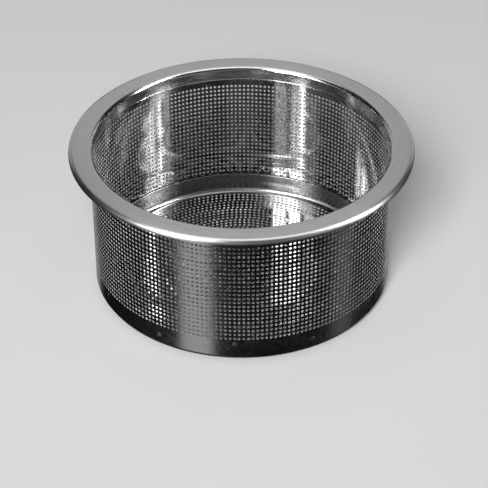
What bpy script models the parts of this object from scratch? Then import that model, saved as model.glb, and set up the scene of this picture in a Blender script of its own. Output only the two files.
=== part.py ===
"""Round basket strainer: a perforated sleeve with a hanging rim and a flat pressed base.

Metres, +Z up. The origin is the centre of the base, on the surface the strainer stands on.
"""
import math

import bmesh
import bpy
from mathutils import Matrix, Vector

MM = 0.001

# Driving dimensions
HEIGHT = 35.2 * MM            # standing surface to the top of the rim
RIM_RADIUS = 38.4 * MM        # outermost edge of the rim
SLEEVE_RADIUS = 33.75 * MM    # outside of the rolled sheet
SLEEVE_SHEET = 0.2 * MM
FIT_GAP = 0.1 * MM            # between sheets that stand one inside the other

# Rim: a pressed ring with a rolled outer edge and a short neck inside the sleeve
RIM_SHEET = 0.4 * MM
RIM_EDGE_RADIUS = 1.0 * MM
RIM_EDGE_SKIRT = 0.2 * MM
NECK_BEND_RADIUS = 0.95 * MM
NECK_DEPTH = 3.1 * MM

# Sleeve: stands just above the rounded foot of the base and ends under the rim
SLEEVE_FOOT = 1.5 * MM
SLEEVE_TOP_CLEARANCE = 0.95 * MM

# Base pan: a pressed disc with an upturned flange and raised ring ridges
PAN_SHEET = 0.25 * MM
PAN_FOOT_RADIUS = 1.4 * MM
PAN_FLANGE_TOP = 5.1 * MM
RIDGE_OUTER_RADIUS = 28.6 * MM
RIDGE_PITCH = 5.5 * MM
RIDGE_COUNT = 3
RIDGE_HALF_WIDTH = 0.27 * MM
RIDGE_RISE = 0.12 * MM

# Weld metal
SEAM_ANGLE = math.radians(5.0)
SEAM_OPENING = 0.7 * MM
SEAM_BEAD_WIDTH = 0.5 * MM
SEAM_BEAD_CROWN = 0.05 * MM
SEAM_BEAD_INSET = 0.02 * MM
SPOT_COUNT = 12
SPOT_RADIUS = 0.5 * MM
SPOT_RISE = 0.1 * MM
SPOT_CHAMFER = 0.04 * MM
SPOT_GAP = 0.03 * MM
SPOT_FIRST_ANGLE = math.radians(-92.5)
BASE_SPOT_HEIGHTS = (4.7 * MM, 3.3 * MM)
NECK_SPOT_HEIGHTS = (33.1 * MM, 33.1 * MM)

SEGMENTS = 72                 # facets round every turned piece
BEND_STEPS = 5                # facets across a rounded bend
SPOT_SIDES = 12
SMOOTH_ANGLE = math.radians(35.0)
MERGE_DISTANCE = 1e-7

NECK_OUTER_RADIUS = SLEEVE_RADIUS - SLEEVE_SHEET - FIT_GAP
NECK_INNER_RADIUS = NECK_OUTER_RADIUS - RIM_SHEET
PAN_RADIUS = SLEEVE_RADIUS - SLEEVE_SHEET - FIT_GAP
SLEEVE_TOP = HEIGHT - SLEEVE_TOP_CLEARANCE


def clear_scene():
    for obj in list(bpy.data.objects):
        bpy.data.objects.remove(obj, do_unlink=True)


def steel(name, colour, roughness):
    """Stainless steel in one finish."""
    material = bpy.data.materials.new(name)
    material.use_nodes = True
    shader = material.node_tree.nodes["Principled BSDF"]
    shader.inputs["Base Color"].default_value = (*colour, 1.0)
    shader.inputs["Roughness"].default_value = roughness
    shader.inputs["Metallic"].default_value = 1.0
    return material


def arc(centre, radius, start, end):
    """Points (r, z) of a bend, from one angle in degrees to the other."""
    points = []
    for step in range(BEND_STEPS + 1):
        angle = math.radians(start + (end - start) * step / BEND_STEPS)
        points.append((centre[0] + radius * math.cos(angle), centre[1] + radius * math.sin(angle)))
    return points


def add_object(name, mesh, material, parent):
    mesh.shade_smooth()
    mesh.set_sharp_from_angle(angle=SMOOTH_ANGLE)
    if not mesh.materials:
        mesh.materials.append(material)
    obj = bpy.data.objects.new(name, mesh)
    obj.parent = parent
    bpy.context.scene.collection.objects.link(obj)
    return obj


def turned_mesh(name, outline, start=0.0, opening=0.0):
    """Turn a closed outline of (r, z) points about Z, leaving an opening at the start angle."""
    bm = bmesh.new()
    first = start + opening / 2.0
    turn = Matrix.Rotation(first, 4, "Z")
    ring = [bm.verts.new(turn @ Vector((r, 0.0, z))) for r, z in outline]
    if opening:
        profile = [bm.faces.new(ring)]
    else:
        sides = zip(ring, ring[1:] + ring[:1])
        profile = [bm.edges.new((a, b)) for a, b in sides if a.co.xy.length + b.co.xy.length > 0.0]
    bmesh.ops.spin(
        bm,
        geom=ring + profile,
        cent=(0.0, 0.0, 0.0),
        axis=(0.0, 0.0, 1.0),
        angle=math.tau - opening,
        steps=SEGMENTS,
        use_merge=not opening,
        use_duplicate=False,
    )
    bmesh.ops.remove_doubles(bm, verts=bm.verts, dist=MERGE_DISTANCE)
    bmesh.ops.recalc_face_normals(bm, faces=bm.faces)
    mesh = bpy.data.meshes.new(name)
    bm.to_mesh(mesh)
    bm.free()
    return mesh


def rim_outline():
    """The rim's section: neck, bend, flat top and rolled edge, then back along the underside."""
    bend_centre = (NECK_INNER_RADIUS + NECK_BEND_RADIUS, HEIGHT - NECK_BEND_RADIUS)
    edge_centre = (RIM_RADIUS - RIM_EDGE_RADIUS, HEIGHT - RIM_EDGE_RADIUS)
    skirt_end = HEIGHT - RIM_EDGE_RADIUS - RIM_EDGE_SKIRT
    neck_end = HEIGHT - NECK_DEPTH
    outline = [(NECK_INNER_RADIUS, neck_end)]
    outline += arc(bend_centre, NECK_BEND_RADIUS, 180.0, 90.0)
    outline += arc(edge_centre, RIM_EDGE_RADIUS, 90.0, 0.0)
    outline += [(RIM_RADIUS, skirt_end), (RIM_RADIUS - RIM_SHEET, skirt_end)]
    outline += arc(edge_centre, RIM_EDGE_RADIUS - RIM_SHEET, 0.0, 90.0)
    outline += arc(bend_centre, NECK_BEND_RADIUS - RIM_SHEET, 90.0, 180.0)
    outline += [(NECK_OUTER_RADIUS, neck_end)]
    return outline


def sleeve_outline():
    outer = SLEEVE_RADIUS
    inner = SLEEVE_RADIUS - SLEEVE_SHEET
    return [(outer, SLEEVE_TOP), (outer, SLEEVE_FOOT), (inner, SLEEVE_FOOT), (inner, SLEEVE_TOP)]


def ridge_points(level):
    """Crests and feet of the ring ridges at one side of the sheet, from the outside in."""
    points = []
    for index in range(RIDGE_COUNT):
        radius = RIDGE_OUTER_RADIUS - index * RIDGE_PITCH
        points.append((radius + RIDGE_HALF_WIDTH, level))
        points.append((radius, level + RIDGE_RISE))
        points.append((radius - RIDGE_HALF_WIDTH, level))
    return points


def pan_outline():
    """The pan's section: down the flange, round the foot, in along the underside, and back."""
    foot_centre = (PAN_RADIUS - PAN_FOOT_RADIUS, PAN_FOOT_RADIUS)
    outline = [(PAN_RADIUS, PAN_FLANGE_TOP)]
    outline += arc(foot_centre, PAN_FOOT_RADIUS, 0.0, -90.0)
    outline += ridge_points(0.0)
    outline += [(0.0, 0.0), (0.0, PAN_SHEET)]
    outline += reversed(ridge_points(PAN_SHEET))
    outline += arc(foot_centre, PAN_FOOT_RADIUS - PAN_SHEET, -90.0, 0.0)
    outline += [(PAN_RADIUS - PAN_SHEET, PAN_FLANGE_TOP)]
    return outline


def seam_mesh(name):
    """A straight bead that fills the opening between the rolled sheet's two ends."""
    inner = SLEEVE_RADIUS - SLEEVE_SHEET + SEAM_BEAD_INSET
    outer = SLEEVE_RADIUS + SEAM_BEAD_CROWN
    size = Vector((outer - inner, SEAM_BEAD_WIDTH, SLEEVE_TOP - SLEEVE_FOOT))
    bm = bmesh.new()
    bmesh.ops.create_cube(bm, size=1.0, matrix=Matrix.Diagonal(size).to_4x4())
    front_edges = [e for e in bm.edges if all(v.co.x > 0.0 for v in e.verts)]
    crown_edges = [e for e in front_edges if e.verts[0].co.y == e.verts[1].co.y]
    bmesh.ops.bevel(
        bm,
        geom=crown_edges,
        offset=SEAM_BEAD_WIDTH / 3.0,
        offset_type="OFFSET",
        segments=3,
        profile=0.5,
        affect="EDGES",
        material=-1,
    )
    mesh = bpy.data.meshes.new(name)
    bm.to_mesh(mesh)
    bm.free()
    return mesh


def spot_mesh(name):
    """A flat round pad standing on +Z, with a chamfered top edge."""
    bm = bmesh.new()
    bmesh.ops.create_cone(
        bm,
        cap_ends=True,
        segments=SPOT_SIDES,
        radius1=SPOT_RADIUS,
        radius2=SPOT_RADIUS,
        depth=SPOT_RISE,
        matrix=Matrix.Translation((0.0, 0.0, SPOT_RISE / 2.0)),
    )
    top_edges = [e for e in bm.edges if all(v.co.z > SPOT_RISE / 2.0 for v in e.verts)]
    bmesh.ops.bevel(
        bm,
        geom=top_edges,
        offset=SPOT_CHAMFER,
        offset_type="OFFSET",
        segments=1,
        profile=0.5,
        affect="EDGES",
        material=-1,
    )
    mesh = bpy.data.meshes.new(name)
    bm.to_mesh(mesh)
    bm.free()
    return mesh


def add_seam(parent, material):
    seam = add_object("sleeve_seam_weld", seam_mesh("sleeve_seam_weld"), material, parent)
    middle = SLEEVE_RADIUS + (SEAM_BEAD_CROWN + SEAM_BEAD_INSET - SLEEVE_SHEET) / 2.0
    centre = Vector((middle, 0.0, (SLEEVE_TOP + SLEEVE_FOOT) / 2.0))
    seam.location = Matrix.Rotation(SEAM_ANGLE, 4, "Z") @ centre
    seam.rotation_euler = (0.0, 0.0, SEAM_ANGLE)


def add_spots(prefix, mesh, heights, parent, material):
    """Pads spaced evenly round the sleeve, at heights that alternate."""
    facet_radius = SLEEVE_RADIUS * math.cos(math.pi / SEGMENTS) + SPOT_GAP
    for index in range(SPOT_COUNT):
        angle = SPOT_FIRST_ANGLE - index * math.tau / SPOT_COUNT
        height = heights[index % len(heights)]
        spot = add_object(f"{prefix}_{index + 1:02d}", mesh, material, parent)
        spot.location = (facet_radius * math.cos(angle), facet_radius * math.sin(angle), height)
        spot.rotation_euler = (0.0, math.pi / 2.0, angle)


def build():
    clear_scene()
    frame = bpy.data.objects.new("strainer", None)
    bpy.context.scene.collection.objects.link(frame)

    satin = steel("satin_rim", (0.56, 0.56, 0.56), 0.34)
    bright = steel("bright_sleeve", (0.50, 0.50, 0.51), 0.20)
    pan = steel("brushed_pan", (0.52, 0.52, 0.53), 0.24)
    bead = steel("seam_bead", (0.44, 0.43, 0.42), 0.38)
    button = steel("spot_button", (0.60, 0.60, 0.60), 0.30)

    add_object("rim_flange", turned_mesh("rim_flange", rim_outline()), satin, frame)
    seam_opening = SEAM_OPENING / SLEEVE_RADIUS
    sleeve = turned_mesh("perforated_sleeve", sleeve_outline(), SEAM_ANGLE, seam_opening)
    add_object("perforated_sleeve", sleeve, bright, frame)
    add_object("base_pan", turned_mesh("base_pan", pan_outline()), pan, frame)
    add_seam(frame, bead)
    spot = spot_mesh("spot_weld")
    add_spots("base_spot_weld", spot, BASE_SPOT_HEIGHTS, frame, button)
    add_spots("neck_spot_weld", spot, NECK_SPOT_HEIGHTS, frame, button)


build()
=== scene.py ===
import math

import bmesh
import bpy
from mathutils import Matrix, Vector
from mathutils.kdtree import KDTree


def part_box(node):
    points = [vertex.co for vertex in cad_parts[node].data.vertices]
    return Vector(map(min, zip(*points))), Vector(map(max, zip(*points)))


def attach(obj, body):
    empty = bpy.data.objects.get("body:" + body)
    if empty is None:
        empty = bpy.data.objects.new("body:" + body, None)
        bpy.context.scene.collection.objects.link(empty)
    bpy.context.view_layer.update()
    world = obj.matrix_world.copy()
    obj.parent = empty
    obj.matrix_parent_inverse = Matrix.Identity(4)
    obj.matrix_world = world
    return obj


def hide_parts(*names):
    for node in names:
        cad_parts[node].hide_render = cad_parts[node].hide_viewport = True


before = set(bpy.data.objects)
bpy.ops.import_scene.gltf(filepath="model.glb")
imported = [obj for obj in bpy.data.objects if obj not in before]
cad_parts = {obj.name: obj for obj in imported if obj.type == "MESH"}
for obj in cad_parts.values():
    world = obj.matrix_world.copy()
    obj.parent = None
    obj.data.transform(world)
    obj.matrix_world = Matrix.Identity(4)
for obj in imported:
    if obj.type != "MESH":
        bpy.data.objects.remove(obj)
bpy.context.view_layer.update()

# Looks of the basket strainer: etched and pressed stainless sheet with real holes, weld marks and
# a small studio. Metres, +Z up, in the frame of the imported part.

MM = 0.001

# Sizes read from the solids
RIM_LOW, RIM_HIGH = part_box("rim_flange")
SLEEVE_LOW, SLEEVE_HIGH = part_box("perforated_sleeve")
PAN_LOW, PAN_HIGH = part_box("base_pan")
SEAM_LOW, SEAM_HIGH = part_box("sleeve_seam_weld")

HEIGHT = RIM_HIGH[2]
NECK_END = RIM_LOW[2]
RIM_RADIUS = RIM_HIGH[0]
SLEEVE_RADIUS = -SLEEVE_LOW[0]
SLEEVE_FOOT = SLEEVE_LOW[2]
SLEEVE_TOP = SLEEVE_HIGH[2]
PAN_RADIUS = -PAN_LOW[0]
PAN_FLANGE_TOP = PAN_HIGH[2]
SEAM_ANGLE = math.atan2(SEAM_LOW[1] + SEAM_HIGH[1], SEAM_LOW[0] + SEAM_HIGH[0])

# Rim section
RIM_SHEET = 0.4 * MM
RIM_EDGE_RADIUS = 1.0 * MM
RIM_EDGE_SKIRT = 0.2 * MM
NECK_OUTER_RADIUS = PAN_RADIUS
NECK_INNER_RADIUS = NECK_OUTER_RADIUS - RIM_SHEET
NECK_BEND_RADIUS = 0.95 * MM
CUT_EDGE_RADIUS = 0.07 * MM
RIM_SEGMENTS = 320
BEND_STEPS = 10
CUT_EDGE_STEPS = 3

# Etched sleeve
SLEEVE_SHEET = 0.2 * MM
WALL_COLUMNS = 212
SEAM_COLUMNS = 2              # columns left plain, one each side of the weld
WALL_ROWS = 23
WALL_ROW_PITCH = 1.08 * MM
WALL_FIRST_ROW = 6.2 * MM
HOLE_RADIUS = 0.33 * MM       # at the outer face of the wall
HOLE_TAPER = 0.88             # the inner mouth of a wall hole, against the outer one
SEAM_OPENING = 0.7 * MM

# Base pan
PAN_SHEET = 0.25 * MM
PAN_FOOT_RADIUS = 1.4 * MM
PAN_HOLE_RADIUS = 0.31 * MM   # at the upper face of the base
PAN_HOLE_TAPER = 0.6          # the lower mouth of a base hole, against the upper one
RING_PITCH = 1.1 * MM
RING_HOLE_SPACING = 1.1 * MM
FIRST_RING = 31.35 * MM
RING_COUNT = 28
RING_WIDTH = 0.86 * MM
FEWEST_RING_HOLES = 6
FLANGE_LIP = 0.14 * MM
RIDGE_RADII = (28.6 * MM, 23.1 * MM, 17.6 * MM)
RIDGE_HALF_WIDTH = 0.27 * MM
RIDGE_RISE = 0.12 * MM
PAN_EDGE_SEGMENTS = 256

# Punching: an opening starts as a square inset this far into its unit cell
OPENING_INSET = 0.25
HOLE_REACH = 1.1 * HOLE_RADIUS   # a corner nearer than this to a hole's axis belongs to the hole
CELL_BORDER = 1e-3
CELL_NUDGE = 1e-4

# Welds
SEAM_BEAD_WIDTH = 0.5 * MM
SEAM_CROWN = 0.05 * MM
SEAM_INSET = 0.02 * MM
SEAM_RIPPLE_PITCH = 0.45 * MM
SEAM_RIPPLE_DEPTH = 0.25
SEAM_RIPPLE_BOW = 6.0
SPOT_SEGMENTS = 28
SPOT_SECTION_MM = (           # radius and height over the wall
    (0.0, 0.020),
    (0.16, 0.022),
    (0.27, 0.034),
    (0.34, 0.042),
    (0.41, 0.036),
    (0.47, 0.020),
    (0.50, 0.006),
    (0.0, 0.006),
)

SHARP_ANGLE = math.radians(40.0)
MERGE_DISTANCE = 1e-8

# Finishes: roughness from its smoothest to its roughest line, and grey from darkest to lightest
RIM_ROUGHNESS = (0.24, 0.36)
RIM_GREYS = ((0.80, 0.80, 0.80), (0.92, 0.92, 0.915))
RIM_STRETCH = 0.55            # how far a highlight is drawn out across the lines
NECK_POLISH = 0.45            # roughness of the neck, against that of the flat
SLEEVE_INSIDE_ROUGHNESS = (0.04, 0.065)
SLEEVE_OUTSIDE_ROUGHNESS = (0.18, 0.27)
SLEEVE_GREYS = ((0.47, 0.47, 0.475), (0.55, 0.55, 0.555))
SLEEVE_STRETCH = 0.5
DISC_ROUGHNESS = (0.08, 0.11)
FLANGE_ROUGHNESS = (0.18, 0.26)
PAN_GREYS = ((0.31, 0.31, 0.315), (0.39, 0.39, 0.395))
PAN_STRETCH = 0.4
HOLE_WALL_ROUGHNESS = 0.5
# The holes' walls are matte, as etching leaves them, and painted a lighter grey than the sheet round them: a
# painted highlight that shows the holes as bright dots
HOLE_WALL_PAINTED_HIGHLIGHT_GREY = (0.60, 0.60, 0.60)
SEAM_GREYS = ((0.36, 0.35, 0.34), (0.50, 0.49, 0.48))
SPOT_GREYS = ((0.48, 0.47, 0.46), (0.64, 0.64, 0.64))
WELD_ROUGHNESS = (0.25, 0.45)

# Hand marks: the noise level where they start, and the roughness that they add
RIM_MARKS = (0.4, 0.05)
SLEEVE_INSIDE_MARKS = (0.45, 0.03)
SLEEVE_OUTSIDE_MARKS = (0.45, 0.05)
DISC_MARKS = (0.45, 0.05)

# Holes: between these two, a face's turn to the sheet's normal goes from a hole's wall to sheet
SLEEVE_WALL_FACING = (0.5, 0.8)
PAN_WALL_FACING = (0.6, 0.8)

# Relief of the finishes
LINE_DEPTH = 0.01 * MM
WELD_GRAIN_DEPTH = 0.02 * MM
NOISE_LOW, NOISE_HIGH = 0.3, 0.7

# Scratch patterns: lines to the metre, and breaks to the turn round the strainer
RIM_FINE_LINES = (9000.0, 14.0)
RIM_BROAD_LINES = (2200.0, 5.0)
RIM_FINE_SHARE = 0.6
PAN_LINES = (3600.0, 12.0)
SLEEVE_LINES = (30.0, 3600.0)     # breaks to the turn first, as these lines lie round the wall

# Studio
FLOOR_GAP = 0.1 * MM
FLOOR_SIZE = 1.5
FLOOR_COLOUR = (0.62, 0.62, 0.615)
CAMERA_DISTANCE = 0.3381      # in front of the basket's axis
CAMERA_HEIGHT = 0.2461
CAMERA_SIDE = 0.0008
CAMERA_PITCH = math.radians(35.22)
CAMERA_ROLL = math.radians(-0.14)
CAMERA_YAW = math.radians(-0.05)
LENS = 132.25
SENSOR = 36.0
ROOM_GLOW = 0.005


# ---------------------------------------------------------------- materials

class Nodes:
    """Short calls for wiring one material."""

    def __init__(self, material):
        material.use_nodes = True
        self.tree = material.node_tree
        self.shader = self.tree.nodes["Principled BSDF"]

    def add(self, kind, **settings):
        node = self.tree.nodes.new(kind)
        for name, value in settings.items():
            setattr(node, name, value)
        return node

    def link(self, source, target):
        self.tree.links.new(source, target)

    def drive(self, name, source):
        """Wires a node's output to the shader."""
        self.link(source, self.shader.inputs[name])

    def feed(self, socket, value):
        """A socket takes a number, an (r, g, b) or another node's output."""
        if isinstance(value, bpy.types.NodeSocket):
            self.link(value, socket)
        elif isinstance(value, tuple):
            socket.default_value = (*value, 1.0)
        else:
            socket.default_value = value

    def math(self, operation, first, second=0.0):
        node = self.add("ShaderNodeMath", operation=operation)
        self.feed(node.inputs[0], first)
        self.feed(node.inputs[1], second)
        return node.outputs[0]

    def combine(self, x=0.0, y=0.0, z=0.0):
        node = self.add("ShaderNodeCombineXYZ")
        for socket, value in zip(node.inputs, (x, y, z)):
            self.feed(socket, value)
        return node.outputs[0]

    def noise(self, vector, scale, detail, roughness=0.5):
        node = self.add("ShaderNodeTexNoise")
        self.link(vector, node.inputs["Vector"])
        node.inputs["Scale"].default_value = scale
        node.inputs["Detail"].default_value = detail
        node.inputs["Roughness"].default_value = roughness
        node.inputs["Distortion"].default_value = 0.0
        return node.outputs["Fac"]

    def streaks(self, x, y, scales, detail):
        """Noise drawn out to lines: each direction has a scale of its own."""
        stretched = self.combine(self.math("MULTIPLY", x, scales[0]), self.math("MULTIPLY", y, scales[1]))
        return self.noise(stretched, scale=1.0, detail=detail)

    def spread(self, value, low, high, to_low, to_high):
        node = self.add("ShaderNodeMapRange")
        self.link(value, node.inputs["Value"])
        node.inputs["From Min"].default_value = low
        node.inputs["From Max"].default_value = high
        node.inputs["To Min"].default_value = to_low
        node.inputs["To Max"].default_value = to_high
        return node.outputs["Result"]

    def from_noise(self, value, to_low=0.0, to_high=1.0):
        """Noise keeps near its middle; this opens it out to a range."""
        return self.spread(value, NOISE_LOW, NOISE_HIGH, to_low, to_high)

    def marked(self, roughness, clouds, start, amount):
        """Roughness, with up to this amount more where the clouds of hand marks rise past their start."""
        return self.math("ADD", roughness, self.spread(clouds, start, NOISE_HIGH, 0.0, amount))

    def blend(self, factor, first, second):
        node = self.add("ShaderNodeMix", data_type="FLOAT")
        for socket, value in zip(node.inputs[0:1] + node.inputs[2:4], (factor, first, second)):
            self.feed(socket, value)
        return node.outputs[0]

    def tint(self, factor, first, second):
        """A colour between two others."""
        node = self.add("ShaderNodeMix", data_type="RGBA")
        for socket, value in zip(node.inputs[0:1] + node.inputs[6:8], (factor, first, second)):
            self.feed(socket, value)
        return node.outputs[2]

    def vector(self, operation, first):
        node = self.add("ShaderNodeVectorMath", operation=operation)
        self.link(first, node.inputs[0])
        return node

    def hole_walls(self, sheet_normal, low, high):
        """1 on the walls of the holes and 0 on the sheet's two faces."""
        facing = self.vector("DOT_PRODUCT", self.add("ShaderNodeTexCoord").outputs["Normal"])
        self.link(sheet_normal, facing.inputs[1])
        return self.spread(self.math("ABSOLUTE", facing.outputs["Value"]), low, high, 1.0, 0.0)

    def bump(self, height, strength, depth):
        node = self.add("ShaderNodeBump")
        self.link(height, node.inputs["Height"])
        node.inputs["Strength"].default_value = strength
        node.inputs["Distance"].default_value = depth
        self.drive("Normal", node.outputs["Normal"])

    def turned_place(self):
        """A point, and its radius, angle in turns and height, round the strainer's axis."""
        place = self.add("ShaderNodeTexCoord").outputs["Object"]
        split = self.add("ShaderNodeSeparateXYZ")
        self.link(place, split.inputs[0])
        x, y, z = split.outputs
        squares = self.math("ADD", self.math("MULTIPLY", x, x), self.math("MULTIPLY", y, y))
        turns = self.math("DIVIDE", self.math("ARCTAN2", y, x), math.tau)
        return place, self.math("SQRT", squares), turns, z


def steel(name, stretch=0.0):
    """Bare steel; with stretch, its highlights lengthen across lines that run round the strainer."""
    material = bpy.data.materials.new(name)
    nodes = Nodes(material)
    shader = nodes.shader
    shader.inputs["Metallic"].default_value = 1.0
    shader.inputs["Anisotropic"].default_value = stretch
    if stretch:
        shader.inputs["Anisotropic Rotation"].default_value = 0.25
        tangent = nodes.add("ShaderNodeTangent", direction_type="RADIAL", axis="Z")
        nodes.drive("Tangent", tangent.outputs[0])
    return material, nodes


def brushed_ring_steel():
    """Satin rim: fine turned scratches that run round the ring, on the flat and down the neck."""
    material, nodes = steel("satin_rim_steel", RIM_STRETCH)
    place, radius, turns, height = nodes.turned_place()
    across = nodes.math("SUBTRACT", radius, height)
    fine = nodes.streaks(across, turns, RIM_FINE_LINES, detail=3.0)
    broad = nodes.streaks(across, turns, RIM_BROAD_LINES, detail=2.0)
    fine_part = nodes.math("MULTIPLY", fine, RIM_FINE_SHARE)
    broad_part = nodes.math("MULTIPLY", broad, 1.0 - RIM_FINE_SHARE)
    scratches = nodes.math("ADD", fine_part, broad_part)
    marks = nodes.noise(place, scale=60.0, detail=3.0, roughness=0.6)
    satin = nodes.marked(nodes.from_noise(scratches, *RIM_ROUGHNESS), marks, *RIM_MARKS)
    bend_end = NECK_INNER_RADIUS + NECK_BEND_RADIUS
    polish = nodes.spread(radius, NECK_INNER_RADIUS, bend_end, NECK_POLISH, 1.0)
    nodes.drive("Roughness", nodes.math("MULTIPLY", satin, polish))
    nodes.drive("Base Color", nodes.tint(nodes.from_noise(scratches), *RIM_GREYS))
    nodes.bump(scratches, strength=0.25, depth=LINE_DEPTH)
    return material


def etched_sheet_steel():
    """Rolled sheet: bright inside, a rubbed finish outside, and matte etched walls in the holes, painted a
    lighter grey than the sheet as a painted highlight.
    """
    material, nodes = steel("etched_sleeve_steel", SLEEVE_STRETCH)
    place, radius, turns, height = nodes.turned_place()
    lines = nodes.streaks(turns, height, SLEEVE_LINES, detail=2.0)
    rubbed = nodes.noise(place, scale=900.0, detail=3.0, roughness=0.6)
    marks = nodes.noise(place, scale=90.0, detail=4.0, roughness=0.6)
    inside = nodes.marked(nodes.from_noise(lines, *SLEEVE_INSIDE_ROUGHNESS), marks, *SLEEVE_INSIDE_MARKS)
    outside = nodes.marked(nodes.from_noise(rubbed, *SLEEVE_OUTSIDE_ROUGHNESS), marks, *SLEEVE_OUTSIDE_MARKS)
    out = nodes.spread(radius, SLEEVE_RADIUS - SLEEVE_SHEET, SLEEVE_RADIUS, 0.0, 1.0)
    flat = nodes.vector("MULTIPLY", place)
    flat.inputs[1].default_value = (1.0, 1.0, 0.0)
    outwards = nodes.vector("NORMALIZE", flat.outputs[0]).outputs[0]
    walls = nodes.hole_walls(outwards, *SLEEVE_WALL_FACING)
    nodes.drive("Roughness", nodes.blend(walls, nodes.blend(out, inside, outside), HOLE_WALL_ROUGHNESS))
    # The walls of the holes are painted a lighter grey than the sheet: a painted highlight
    sheet_grey = nodes.tint(nodes.from_noise(lines), *SLEEVE_GREYS)
    nodes.drive("Base Color", nodes.tint(walls, sheet_grey, HOLE_WALL_PAINTED_HIGHLIGHT_GREY))
    nodes.bump(nodes.blend(out, lines, rubbed), strength=0.2, depth=LINE_DEPTH)
    return material


def pressed_pan_steel():
    """Pressed sheet: a bright disc with faint turned marks and etched holes, and a brushed flange; the
    holes' walls are painted a lighter grey, a painted highlight.
    """
    material, nodes = steel("pressed_pan_steel", PAN_STRETCH)
    place, radius, turns, height = nodes.turned_place()
    across = nodes.math("SUBTRACT", radius, height)
    lines = nodes.streaks(across, turns, PAN_LINES, detail=2.0)
    marks = nodes.noise(place, scale=110.0, detail=4.0, roughness=0.6)
    disc = nodes.marked(nodes.from_noise(lines, *DISC_ROUGHNESS), marks, *DISC_MARKS)
    flange = nodes.from_noise(lines, *FLANGE_ROUGHNESS)
    up = nodes.spread(height, PAN_SHEET + RIDGE_RISE, PAN_FOOT_RADIUS, 0.0, 1.0)
    walls = nodes.blend(up, nodes.hole_walls(nodes.combine(z=1.0), *PAN_WALL_FACING), 0.0)
    nodes.drive("Roughness", nodes.blend(walls, nodes.blend(up, disc, flange), HOLE_WALL_ROUGHNESS))
    sheet_grey = nodes.tint(nodes.from_noise(lines), *PAN_GREYS)
    # The walls of the holes are painted a lighter grey than the sheet: a painted highlight
    nodes.drive("Base Color", nodes.tint(walls, sheet_grey, HOLE_WALL_PAINTED_HIGHLIGHT_GREY))
    nodes.bump(lines, strength=0.2, depth=LINE_DEPTH)
    return material


def weld_steel(name, greys):
    """Weld metal: slightly uneven, with a dull oxide film."""
    material, nodes = steel(name)
    place = nodes.add("ShaderNodeTexCoord").outputs["Object"]
    cloud = nodes.noise(place, scale=2600.0, detail=3.0, roughness=0.6)
    nodes.drive("Base Color", nodes.tint(nodes.spread(cloud, 0.35, 0.65, 0.0, 1.0), *greys))
    nodes.drive("Roughness", nodes.from_noise(cloud, *WELD_ROUGHNESS))
    nodes.bump(cloud, strength=0.3, depth=WELD_GRAIN_DEPTH)
    return material


def pale_floor():
    material = bpy.data.materials.new("pale_floor")
    shader = Nodes(material).shader
    shader.inputs["Base Color"].default_value = (*FLOOR_COLOUR, 1.0)
    shader.inputs["Roughness"].default_value = 0.9
    shader.inputs["Specular IOR Level"].default_value = 0.1
    return material


# ---------------------------------------------------------------- mesh tools

def add_piece(name, bm, material, node):
    """A finished piece that rides on the strainer and stands for one of its solids."""
    mesh = bpy.data.meshes.new(name)
    bm.to_mesh(mesh)
    bm.free()
    mesh.shade_smooth()
    mesh.set_sharp_from_angle(angle=SHARP_ANGLE)
    mesh.materials.append(material)
    piece = bpy.data.objects.new(name, mesh)
    bpy.context.scene.collection.objects.link(piece)
    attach(piece, "root")
    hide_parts(node)
    return piece


def arc(centre, radius, start, end, steps=BEND_STEPS):
    """Points (r, z) of a bend, from one angle in degrees to the other."""
    points = []
    for step in range(steps + 1):
        angle = math.radians(start + (end - start) * step / steps)
        points.append((centre[0] + radius * math.cos(angle), centre[1] + radius * math.sin(angle)))
    return points


def turned(outline, segments):
    """A closed outline of (r, z) points turned a full round about Z."""
    bm = bmesh.new()
    ring = [bm.verts.new((r, 0.0, z)) for r, z in outline]
    pairs = zip(ring, ring[1:] + ring[:1])
    edges = [bm.edges.new(pair) for pair in pairs if pair[0].co.x + pair[1].co.x > 0.0]
    bmesh.ops.spin(
        bm,
        geom=ring + edges,
        cent=(0.0, 0.0, 0.0),
        axis=(0.0, 0.0, 1.0),
        angle=math.tau,
        steps=segments,
        use_merge=True,
        use_duplicate=False,
    )
    bmesh.ops.remove_doubles(bm, verts=bm.verts, dist=MERGE_DISTANCE)
    bmesh.ops.recalc_face_normals(bm, faces=bm.faces)
    return bm


def punched_grid(columns, rows, punched):
    """A flat grid of unit cells; punched(column, row) cells get an eight-sided opening.

    The opening's corners are left on a square inside the cell: the caller pushes them out to a circle.
    """
    bm = bmesh.new()
    bmesh.ops.create_grid(bm, x_segments=columns, y_segments=rows, size=0.5)
    grow = Matrix.Diagonal((columns, rows, 1.0, 1.0)) @ Matrix.Translation((0.5, 0.5, 0.0))
    bmesh.ops.transform(bm, matrix=grow, verts=bm.verts)
    cells = []
    for face in bm.faces:
        centre = face.calc_center_median()
        if punched(int(centre.x), int(centre.y)):
            cells.append(face)
    bmesh.ops.inset_individual(bm, faces=cells, thickness=OPENING_INSET, use_even_offset=True)
    opening_edges = list(dict.fromkeys(edge for face in cells for edge in face.edges))
    bmesh.ops.delete(bm, geom=cells, context="FACES_ONLY")
    bmesh.ops.subdivide_edges(bm, edges=opening_edges, cuts=1, use_grid_fill=False)
    return bm


def cell_point(co):
    """For a grid point inside a cell, the cell's centre and the direction from it, or None on a border."""
    column, row = math.floor(co.x + CELL_NUDGE), math.floor(co.y + CELL_NUDGE)
    inside_x = CELL_BORDER < co.x - column < 1.0 - CELL_BORDER
    inside_y = CELL_BORDER < co.y - row < 1.0 - CELL_BORDER
    if not (inside_x and inside_y):
        return None
    direction = Vector((co.x - column - 0.5, co.y - row - 0.5))
    return column + 0.5, row + 0.5, direction.normalized()


def give_thickness(bm, sheet):
    """Turns a thin skin whose faces point to its finished side into sheet, growing away from that side."""
    bm.normal_update()
    bmesh.ops.solidify(bm, geom=bm.faces[:], thickness=sheet)


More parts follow.
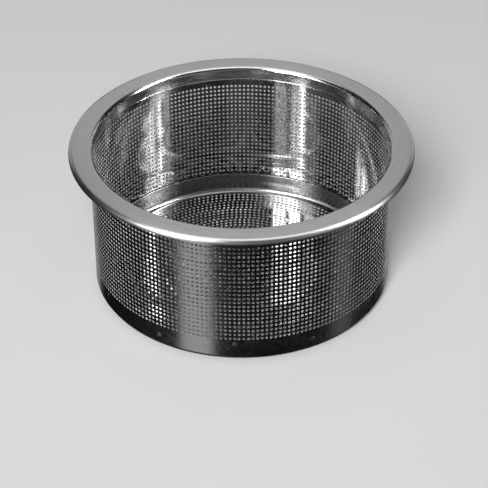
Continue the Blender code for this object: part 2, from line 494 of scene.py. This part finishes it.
def taper_holes(bm, holes, taper):
    """Narrows each (centre, axis) hole towards the side away from its axis, as etching leaves it."""
    tree = KDTree(len(holes))
    for index, (centre, axis) in enumerate(holes):
        tree.insert(centre, index)
    tree.balance()
    for vert in bm.verts:
        index = tree.find(vert.co)[1]
        centre, axis = holes[index]
        offset = vert.co - centre
        depth = offset.dot(axis)
        flat = offset - axis * depth
        if depth < 0.0 and flat.length < HOLE_REACH:
            vert.co = centre + axis * depth + flat * taper


# ---------------------------------------------------------------- pieces

def build_rim(material):
    """Pressed ring: hemmed neck, bend, flat top and rolled edge, one sheet thick."""
    bend_centre = (NECK_INNER_RADIUS + NECK_BEND_RADIUS, HEIGHT - NECK_BEND_RADIUS)
    edge_centre = (RIM_RADIUS - RIM_EDGE_RADIUS, HEIGHT - RIM_EDGE_RADIUS)
    skirt_end = HEIGHT - RIM_EDGE_RADIUS - RIM_EDGE_SKIRT
    cut = CUT_EDGE_RADIUS
    outline = arc((NECK_INNER_RADIUS, NECK_END + cut), cut, 270.0, 90.0, 2 * CUT_EDGE_STEPS)
    outline += arc(bend_centre, NECK_BEND_RADIUS, 180.0, 90.0)
    outline += arc(edge_centre, RIM_EDGE_RADIUS, 90.0, 0.0)
    outline += arc((RIM_RADIUS - cut, skirt_end + cut), cut, 0.0, -90.0, CUT_EDGE_STEPS)
    outline += arc((RIM_RADIUS - RIM_SHEET + cut, skirt_end + cut), cut, -90.0, -180.0, CUT_EDGE_STEPS)
    outline += arc(edge_centre, RIM_EDGE_RADIUS - RIM_SHEET, 0.0, 90.0)
    outline += arc(bend_centre, NECK_BEND_RADIUS - RIM_SHEET, 90.0, 180.0)
    outline += arc((NECK_OUTER_RADIUS - cut, NECK_END + cut), cut, 360.0, 270.0, CUT_EDGE_STEPS)
    return add_piece("rim_ring", turned(outline, RIM_SEGMENTS), material, "rim_flange")


def build_sleeve(material):
    """Etched sheet rolled to a cylinder: plain strips beside the weld, and plain bands top and bottom."""
    columns, rows = WALL_COLUMNS, WALL_ROWS + 2
    holed_columns = WALL_COLUMNS - SEAM_COLUMNS
    column_angle = math.tau / WALL_COLUMNS
    seam_turn = SEAM_OPENING / SLEEVE_RADIUS
    strip_angle = (math.tau - holed_columns * column_angle - seam_turn) / SEAM_COLUMNS
    first_angle = SEAM_ANGLE + seam_turn / 2.0
    first_height = WALL_FIRST_ROW - WALL_ROW_PITCH / 2.0
    last_height = first_height + WALL_ROWS * WALL_ROW_PITCH

    def angle_at(u):
        if u < 1.0:
            return first_angle + u * strip_angle
        if u > columns - 1.0:
            last_angle = first_angle + strip_angle + holed_columns * column_angle
            return last_angle + (u - columns + 1.0) * strip_angle
        return first_angle + strip_angle + (u - 1.0) * column_angle

    def height_at(v):
        if v < 1.0:
            return SLEEVE_FOOT + v * (first_height - SLEEVE_FOOT)
        if v > rows - 1.0:
            return last_height + (v - rows + 1.0) * (SLEEVE_TOP - last_height)
        return first_height + (v - 1.0) * WALL_ROW_PITCH

    def punched(column, row):
        return 0 < column < columns - 1 and 0 < row < rows - 1

    bm = punched_grid(columns, rows, punched)
    for vert in bm.verts:
        place = cell_point(vert.co)
        if place is None:
            angle, height = angle_at(vert.co.x), height_at(vert.co.y)
        else:
            angle = angle_at(place[0]) + place[2].x * HOLE_RADIUS / SLEEVE_RADIUS
            height = height_at(place[1]) + place[2].y * HOLE_RADIUS
        vert.co = (SLEEVE_RADIUS * math.cos(angle), SLEEVE_RADIUS * math.sin(angle), height)
    give_thickness(bm, SLEEVE_SHEET)
    holes = []
    for column in range(1, columns - 1):
        angle = angle_at(column + 0.5)
        axis = Vector((math.cos(angle), math.sin(angle), 0.0))
        for row in range(1, rows - 1):
            centre = axis * (SLEEVE_RADIUS - SLEEVE_SHEET / 2.0)
            centre.z = height_at(row + 0.5)
            holes.append((centre, axis))
    taper_holes(bm, holes, HOLE_TAPER)
    return add_piece("sleeve_sheet", bm, material, "perforated_sleeve")


def ring_strip(bm, radius, holes, stagger):
    """Adds one ring of punched cells to a flat disc; returns the edges of its outer and inner borders."""
    ring = punched_grid(holes, 1, lambda column, row: True)
    step = math.tau / holes
    for vert in ring.verts:
        place = cell_point(vert.co)
        if place is None:
            angle = (vert.co.x + stagger) * step
            distance = radius + (0.5 - vert.co.y) * RING_WIDTH
        else:
            angle = (place[0] + stagger) * step + place[2].x * PAN_HOLE_RADIUS / radius
            distance = radius - place[2].y * PAN_HOLE_RADIUS
        vert.co = (distance * math.cos(angle), distance * math.sin(angle), 0.0)
    bmesh.ops.remove_doubles(ring, verts=ring.verts, dist=MERGE_DISTANCE)
    holder = bpy.data.meshes.new("ring_holder")
    ring.to_mesh(holder)
    ring.free()
    before = set(bm.edges)
    bm.from_mesh(holder)
    bpy.data.meshes.remove(holder)
    near_border = RING_WIDTH * 0.45
    outer, inner = [], []
    for edge in bm.edges:
        if edge in before or not edge.is_boundary:
            continue
        middle = sum(vert.co.xy.length for vert in edge.verts) / 2.0
        if middle > radius + near_border:
            outer.append(edge)
        elif middle < radius - near_border:
            inner.append(edge)
    return outer, inner


def ridge_height(radius):
    """Rise of the pan's sheet over its ring ridges."""
    rise = 0.0
    for ridge in RIDGE_RADII:
        offset = abs(radius - ridge) / RIDGE_HALF_WIDTH
        if offset < 1.0:
            rise = RIDGE_RISE * 0.5 * (1.0 + math.cos(math.pi * offset))
    return rise


def build_pan(material):
    """Pressed base: rings of holes, ring ridges, a rounded foot and an upturned flange."""
    bm = bmesh.new()
    inner = None
    first_outer = None
    up = Vector((0.0, 0.0, 1.0))
    holes = []
    for index in range(RING_COUNT):
        radius = FIRST_RING - index * RING_PITCH
        count = max(FEWEST_RING_HOLES, round(math.tau * radius / RING_HOLE_SPACING))
        stagger = 0.5 * (index % 2)
        outer, next_inner = ring_strip(bm, radius, count, stagger)
        for step in range(count):
            angle = (step + 0.5 + stagger) * math.tau / count
            centre = Vector((radius * math.cos(angle), radius * math.sin(angle), PAN_SHEET / 2.0))
            holes.append((centre, up))
        if inner is None:
            first_outer = outer
        else:
            bmesh.ops.triangle_fill(bm, edges=inner + outer, use_beauty=True, normal=(0.0, 0.0, 1.0))
        inner = next_inner
    bmesh.ops.contextual_create(bm, geom=inner)

    foot_start = PAN_RADIUS - PAN_FOOT_RADIUS
    foot = bmesh.ops.create_circle(bm, segments=PAN_EDGE_SEGMENTS, radius=foot_start)
    foot_edges = list(dict.fromkeys(edge for vert in foot["verts"] for edge in vert.link_edges))
    bmesh.ops.triangle_fill(bm, edges=first_outer + foot_edges, use_beauty=True, normal=(0.0, 0.0, 1.0))
    for vert in bm.verts:
        vert.co.z += PAN_SHEET + ridge_height(vert.co.xy.length)

    centre = (foot_start, PAN_FOOT_RADIUS)
    profile = arc(centre, PAN_FOOT_RADIUS - PAN_SHEET, -90.0, 0.0, 8)[1:]
    lip_centre = (PAN_RADIUS - PAN_SHEET + FLANGE_LIP, PAN_FLANGE_TOP - FLANGE_LIP)
    profile += arc(lip_centre, FLANGE_LIP, 180.0, 110.0, 5)
    rim_edges = [edge for edge in foot_edges if edge.is_valid]
    for radius, height in profile:
        grown = bmesh.ops.extrude_edge_only(bm, edges=rim_edges)
        verts = [item for item in grown["geom"] if isinstance(item, bmesh.types.BMVert)]
        rim_edges = [item for item in grown["geom"] if isinstance(item, bmesh.types.BMEdge)]
        for vert in verts:
            flat = vert.co.xy.normalized() * radius
            vert.co = (flat.x, flat.y, height)
    bmesh.ops.recalc_face_normals(bm, faces=bm.faces)
    bm.normal_update()
    if sum(face.normal.z for face in bm.faces) < 0.0:
        bmesh.ops.reverse_faces(bm, faces=bm.faces)
    give_thickness(bm, PAN_SHEET)
    taper_holes(bm, holes, PAN_HOLE_TAPER)
    return add_piece("pan_sheet", bm, material, "base_pan")


def build_seam(material):
    """A low crowned bead with fine cross ripples, filling the sleeve's opening."""
    length = SLEEVE_TOP - SLEEVE_FOOT
    steps = 2 * round(length / SEAM_RIPPLE_PITCH)
    bm = bmesh.new()
    bmesh.ops.create_grid(bm, x_segments=6, y_segments=steps, size=0.5)
    for vert in bm.verts:
        across, along = vert.co.x, vert.co.y
        phase = math.tau * (along + 0.5) * length / SEAM_RIPPLE_PITCH
        ripple = SEAM_RIPPLE_DEPTH * math.cos(phase + SEAM_RIPPLE_BOW * across * across)
        crown = SEAM_CROWN * (1.0 - 4.0 * across * across) * (1.0 - SEAM_RIPPLE_DEPTH + ripple)
        vert.co = (SLEEVE_RADIUS + crown, across * SEAM_BEAD_WIDTH, SLEEVE_FOOT + (along + 0.5) * length)
    turn = Matrix.Rotation(SEAM_ANGLE, 3, "Z")
    bmesh.ops.rotate(bm, cent=(0.0, 0.0, 0.0), matrix=turn, verts=bm.verts)
    bmesh.ops.recalc_face_normals(bm, faces=bm.faces)
    give_thickness(bm, SLEEVE_SHEET - SEAM_INSET)
    return add_piece("seam_bead", bm, material, "sleeve_seam_weld")


def build_spot(node, material):
    """A weld button pressed on the wall: a dished middle inside a low raised ring."""
    low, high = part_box(node)
    centre = Vector([(a + b) / 2.0 for a, b in zip(low, high)])
    angle = math.atan2(centre.y, centre.x)
    bm = turned([(r * MM, z * MM) for r, z in SPOT_SECTION_MM], SPOT_SEGMENTS)
    stand = Matrix.Rotation(angle, 4, "Z") @ Matrix.Rotation(math.pi / 2.0, 4, "Y")
    foot = Vector((SLEEVE_RADIUS * math.cos(angle), SLEEVE_RADIUS * math.sin(angle), centre.z))
    bmesh.ops.transform(bm, matrix=Matrix.Translation(foot) @ stand, verts=bm.verts)
    return add_piece(node.replace("spot_weld", "weld_button"), bm, material, node)


# ---------------------------------------------------------------- studio

def build_floor():
    bm = bmesh.new()
    bmesh.ops.create_grid(bm, x_segments=1, y_segments=1, size=FLOOR_SIZE)
    bmesh.ops.translate(bm, vec=(0.0, 0.0, -FLOOR_GAP), verts=bm.verts)
    mesh = bpy.data.meshes.new("floor")
    bm.to_mesh(mesh)
    bm.free()
    mesh.materials.append(pale_floor())
    floor = bpy.data.objects.new("floor", mesh)
    bpy.context.scene.collection.objects.link(floor)
    floor.visible_glossy = False
    floor.visible_shadow = False


def add_panel(name, azimuth, elevation, distance, width, height, radiance, on_floor=False, in_metal=True):
    """A soft light panel that faces the basket. Azimuth 0 is the camera's side, and +90 is +X."""
    turn, lift = math.radians(azimuth), math.radians(elevation)
    away = Vector((math.sin(turn) * math.cos(lift), -math.cos(turn) * math.cos(lift), math.sin(lift)))
    light = bpy.data.lights.new(name, "AREA")
    light.shape = "RECTANGLE"
    light.size = width
    light.size_y = height
    light.energy = radiance * width * height * math.pi
    panel = bpy.data.objects.new(name, light)
    panel.location = Vector((0.0, 0.0, HEIGHT / 2.0)) + away * distance
    panel.rotation_euler = away.to_track_quat("Z", "Y").to_euler()
    panel.visible_diffuse = on_floor
    panel.visible_glossy = in_metal
    bpy.context.scene.collection.objects.link(panel)


def build_lights():
    # Broad and dim, above and behind: the flat of the rim and the sheen of the back wall
    add_panel("top_panel", 180.0, 84.0, 0.6, 0.5, 0.55, 1.05, on_floor=True)
    add_panel("back_panel", 180.0, 32.0, 0.7, 0.46, 0.42, 0.36)
    add_panel("back_left_panel", -147.0, 8.0, 0.7, 0.34, 0.46, 0.38)
    add_panel("back_right_panel", 147.0, 8.0, 0.7, 0.34, 0.46, 0.38)
    # Tall and bright: the stripes inside the wall and on the base
    add_panel("left_strip_inner", -32.0, 34.0, 0.7, 0.11, 0.62, 9.5)
    add_panel("left_strip_core", -45.0, 34.0, 0.7, 0.09, 0.62, 19.0)
    add_panel("left_strip_outer", -59.0, 34.0, 0.7, 0.10, 0.62, 3.6)
    add_panel("right_strip", 82.0, 34.0, 0.7, 0.09, 0.62, 24.0)
    # Low and wide in front: the rim's flat and rolled edge, as the sides and the back see them
    add_panel("left_low_panel", -57.0, 14.0, 0.9, 1.0, 0.26, 0.26)
    add_panel("front_low_panel", 0.0, 14.0, 0.9, 0.9, 0.26, 0.20)
    add_panel("right_low_panel", 57.0, 14.0, 0.9, 1.0, 0.26, 0.26)
    # Below the floor, where the outside of the wall looks
    add_panel("left_bounce", -35.0, -36.0, 0.7, 0.24, 0.55, 0.52)
    add_panel("right_bounce", 82.0, -34.0, 0.7, 0.18, 0.45, 0.10)
    add_panel("back_bounce", 180.0, -28.0, 0.7, 0.70, 0.45, 0.35)
    # The soft shadow on the floor
    add_panel("floor_key", -12.0, 38.0, 1.8, 0.7, 0.7, 30.0, on_floor=True, in_metal=False)
    world = bpy.data.worlds.new("studio")
    world.use_nodes = True
    background = world.node_tree.nodes["Background"]
    background.inputs["Color"].default_value = (1.0, 1.0, 1.0, 1.0)
    background.inputs["Strength"].default_value = ROOM_GLOW
    bpy.context.scene.world = world


def build_camera():
    data = bpy.data.cameras.new("camera")
    data.sensor_width = SENSOR
    data.lens = LENS
    data.clip_start = 0.01
    data.clip_end = 10.0
    camera = bpy.data.objects.new("camera", data)
    camera.location = (CAMERA_SIDE, -CAMERA_DISTANCE, CAMERA_HEIGHT)
    aim = Matrix.Rotation(-CAMERA_YAW, 3, "Z") @ Matrix.Rotation(math.pi / 2.0 - CAMERA_PITCH, 3, "X")
    camera.rotation_euler = (aim @ Matrix.Rotation(CAMERA_ROLL, 3, "Z")).to_euler()
    bpy.context.scene.collection.objects.link(camera)
    bpy.context.scene.camera = camera


def build():
    build_rim(brushed_ring_steel())
    build_sleeve(etched_sheet_steel())
    build_pan(pressed_pan_steel())
    build_seam(weld_steel("seam_weld_steel", SEAM_GREYS))
    button_steel = weld_steel("spot_weld_steel", SPOT_GREYS)
    for node in sorted(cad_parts):
        if "spot_weld" in node:
            build_spot(node, button_steel)
    build_floor()
    build_lights()
    build_camera()
    bpy.context.scene.view_settings.view_transform = "Standard"


build()
